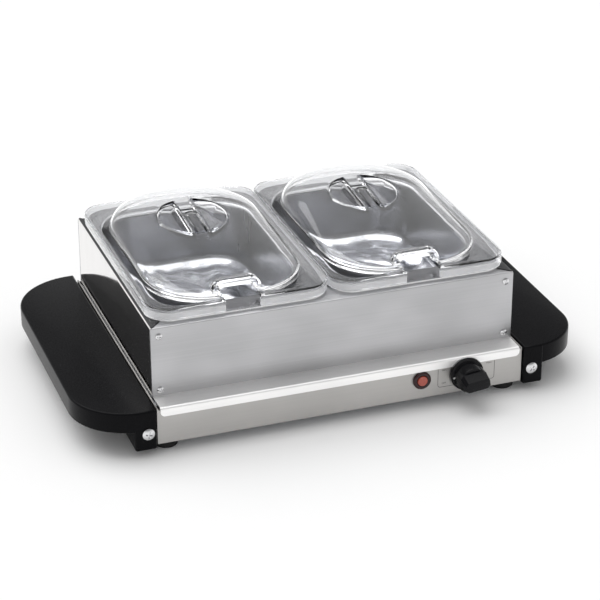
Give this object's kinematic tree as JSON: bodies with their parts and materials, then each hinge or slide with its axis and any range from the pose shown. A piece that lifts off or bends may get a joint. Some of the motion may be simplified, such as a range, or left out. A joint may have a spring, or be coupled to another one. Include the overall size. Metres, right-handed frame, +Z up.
{
  "type": "buffet server",
  "caption": "Electric buffet server: warming base with end handles, thermostat knob and lamp, lift-off frame, steel pans and clear domed lids.",
  "frame": {"origin": "on the floor, under the middle of the object's bounding box", "axes": "+X to the right seen from the front, +Y to the back, +Z up; the knob and lamp face -Y"},
  "size_m": [0.504, 0.332, 0.1513],
  "materials": {
    "brushed_steel": "brushed along the width",
    "polished_steel": "mirror polished",
    "pan_steel": "satin to polished",
    "zinc_steel": "zinc plated",
    "chrome": "bright chrome",
    "aluminium": "bright sheet",
    "element_sheath": "dark oxide",
    "brass": "plain",
    "ceramic": "unglazed ceramic, matt",
    "black_plastic": "satin black moulding",
    "knob_plastic": "black, half gloss",
    "dark_trim": "dark satin",
    "rubber": "matt",
    "lamp_bezel": "dark red gloss",
    "lamp_lens": "clear orange-red",
    "wire_insulation": "glass-fibre sleeve",
    "clear_plastic": "clear moulded plastic, gloss"
  },
  "bodies": {
    "base": {"base_housing": "brushed_steel", "bottom_plate": "zinc_steel", "bottom_screws": "zinc_steel", "rubber_feet": "rubber", "foot_screws": "zinc_steel", "foot_nuts": "zinc_steel", "plate_rails": "zinc_steel", "warming_plate": "brushed_steel", "plate_studs": "zinc_steel", "heating_element": "element_sheath", "element_straps": "zinc_steel", "heat_shield": "aluminium", "stud_nuts": "zinc_steel", "thermal_fuse": "ceramic", "fuse_clip": "zinc_steel", "thermostat": "ceramic", "thermostat_nut": "zinc_steel", "lamp_bezel": "lamp_bezel", "lamp_lens": "lamp_lens", "neon_lamp": "lamp_lens", "lamp_clip": "zinc_steel", "terminal_block": "ceramic", "terminal_screws": "brass", "wiring": "wire_insulation", "cord_gland": "black_plastic", "gland_nut": "black_plastic", "cap_brackets": "zinc_steel", "end_cap_left": "black_plastic", "end_cap_right": "black_plastic", "cap_screws": "chrome"},
    "frame": {"frame_front": "brushed_steel", "frame_back": "brushed_steel", "frame_side_left": "polished_steel", "frame_side_right": "polished_steel", "frame_divider": "dark_trim", "frame_screws": "chrome"},
    "pan_left": {"pan_left": "pan_steel"},
    "pan_right": {"pan_right": "pan_steel"},
    "lid_left": {"lid_left": "clear_plastic"},
    "lid_right": {"lid_right": "clear_plastic"},
    "knob": {"thermostat_shaft": "zinc_steel", "control_knob": "knob_plastic"}
  },
  "joints": [
    {"name": "frame_lift", "type": "slide", "parent": "base", "child": "frame", "axis": [0, 0, 1], "range_m": [0, 0.1]},
    {"name": "pan_left_lift", "type": "slide", "parent": "frame", "child": "pan_left", "axis": [0, 0, 1], "range_m": [0, 0.12]},
    {"name": "pan_right_lift", "type": "slide", "parent": "frame", "child": "pan_right", "axis": [0, 0, 1], "range_m": [0, 0.12]},
    {"name": "lid_left_lift", "type": "slide", "parent": "pan_left", "child": "lid_left", "axis": [0, 0, 1], "range_m": [0, 0.1]},
    {"name": "lid_right_lift", "type": "slide", "parent": "pan_right", "child": "lid_right", "axis": [0, 0, 1], "range_m": [0, 0.1]},
    {"name": "knob_turn", "type": "hinge", "parent": "base", "child": "knob", "pos_m": [0.124, -0.15, 0.0292], "axis": [0, 1, 0], "range_deg": [-38, 232]}
  ]
}
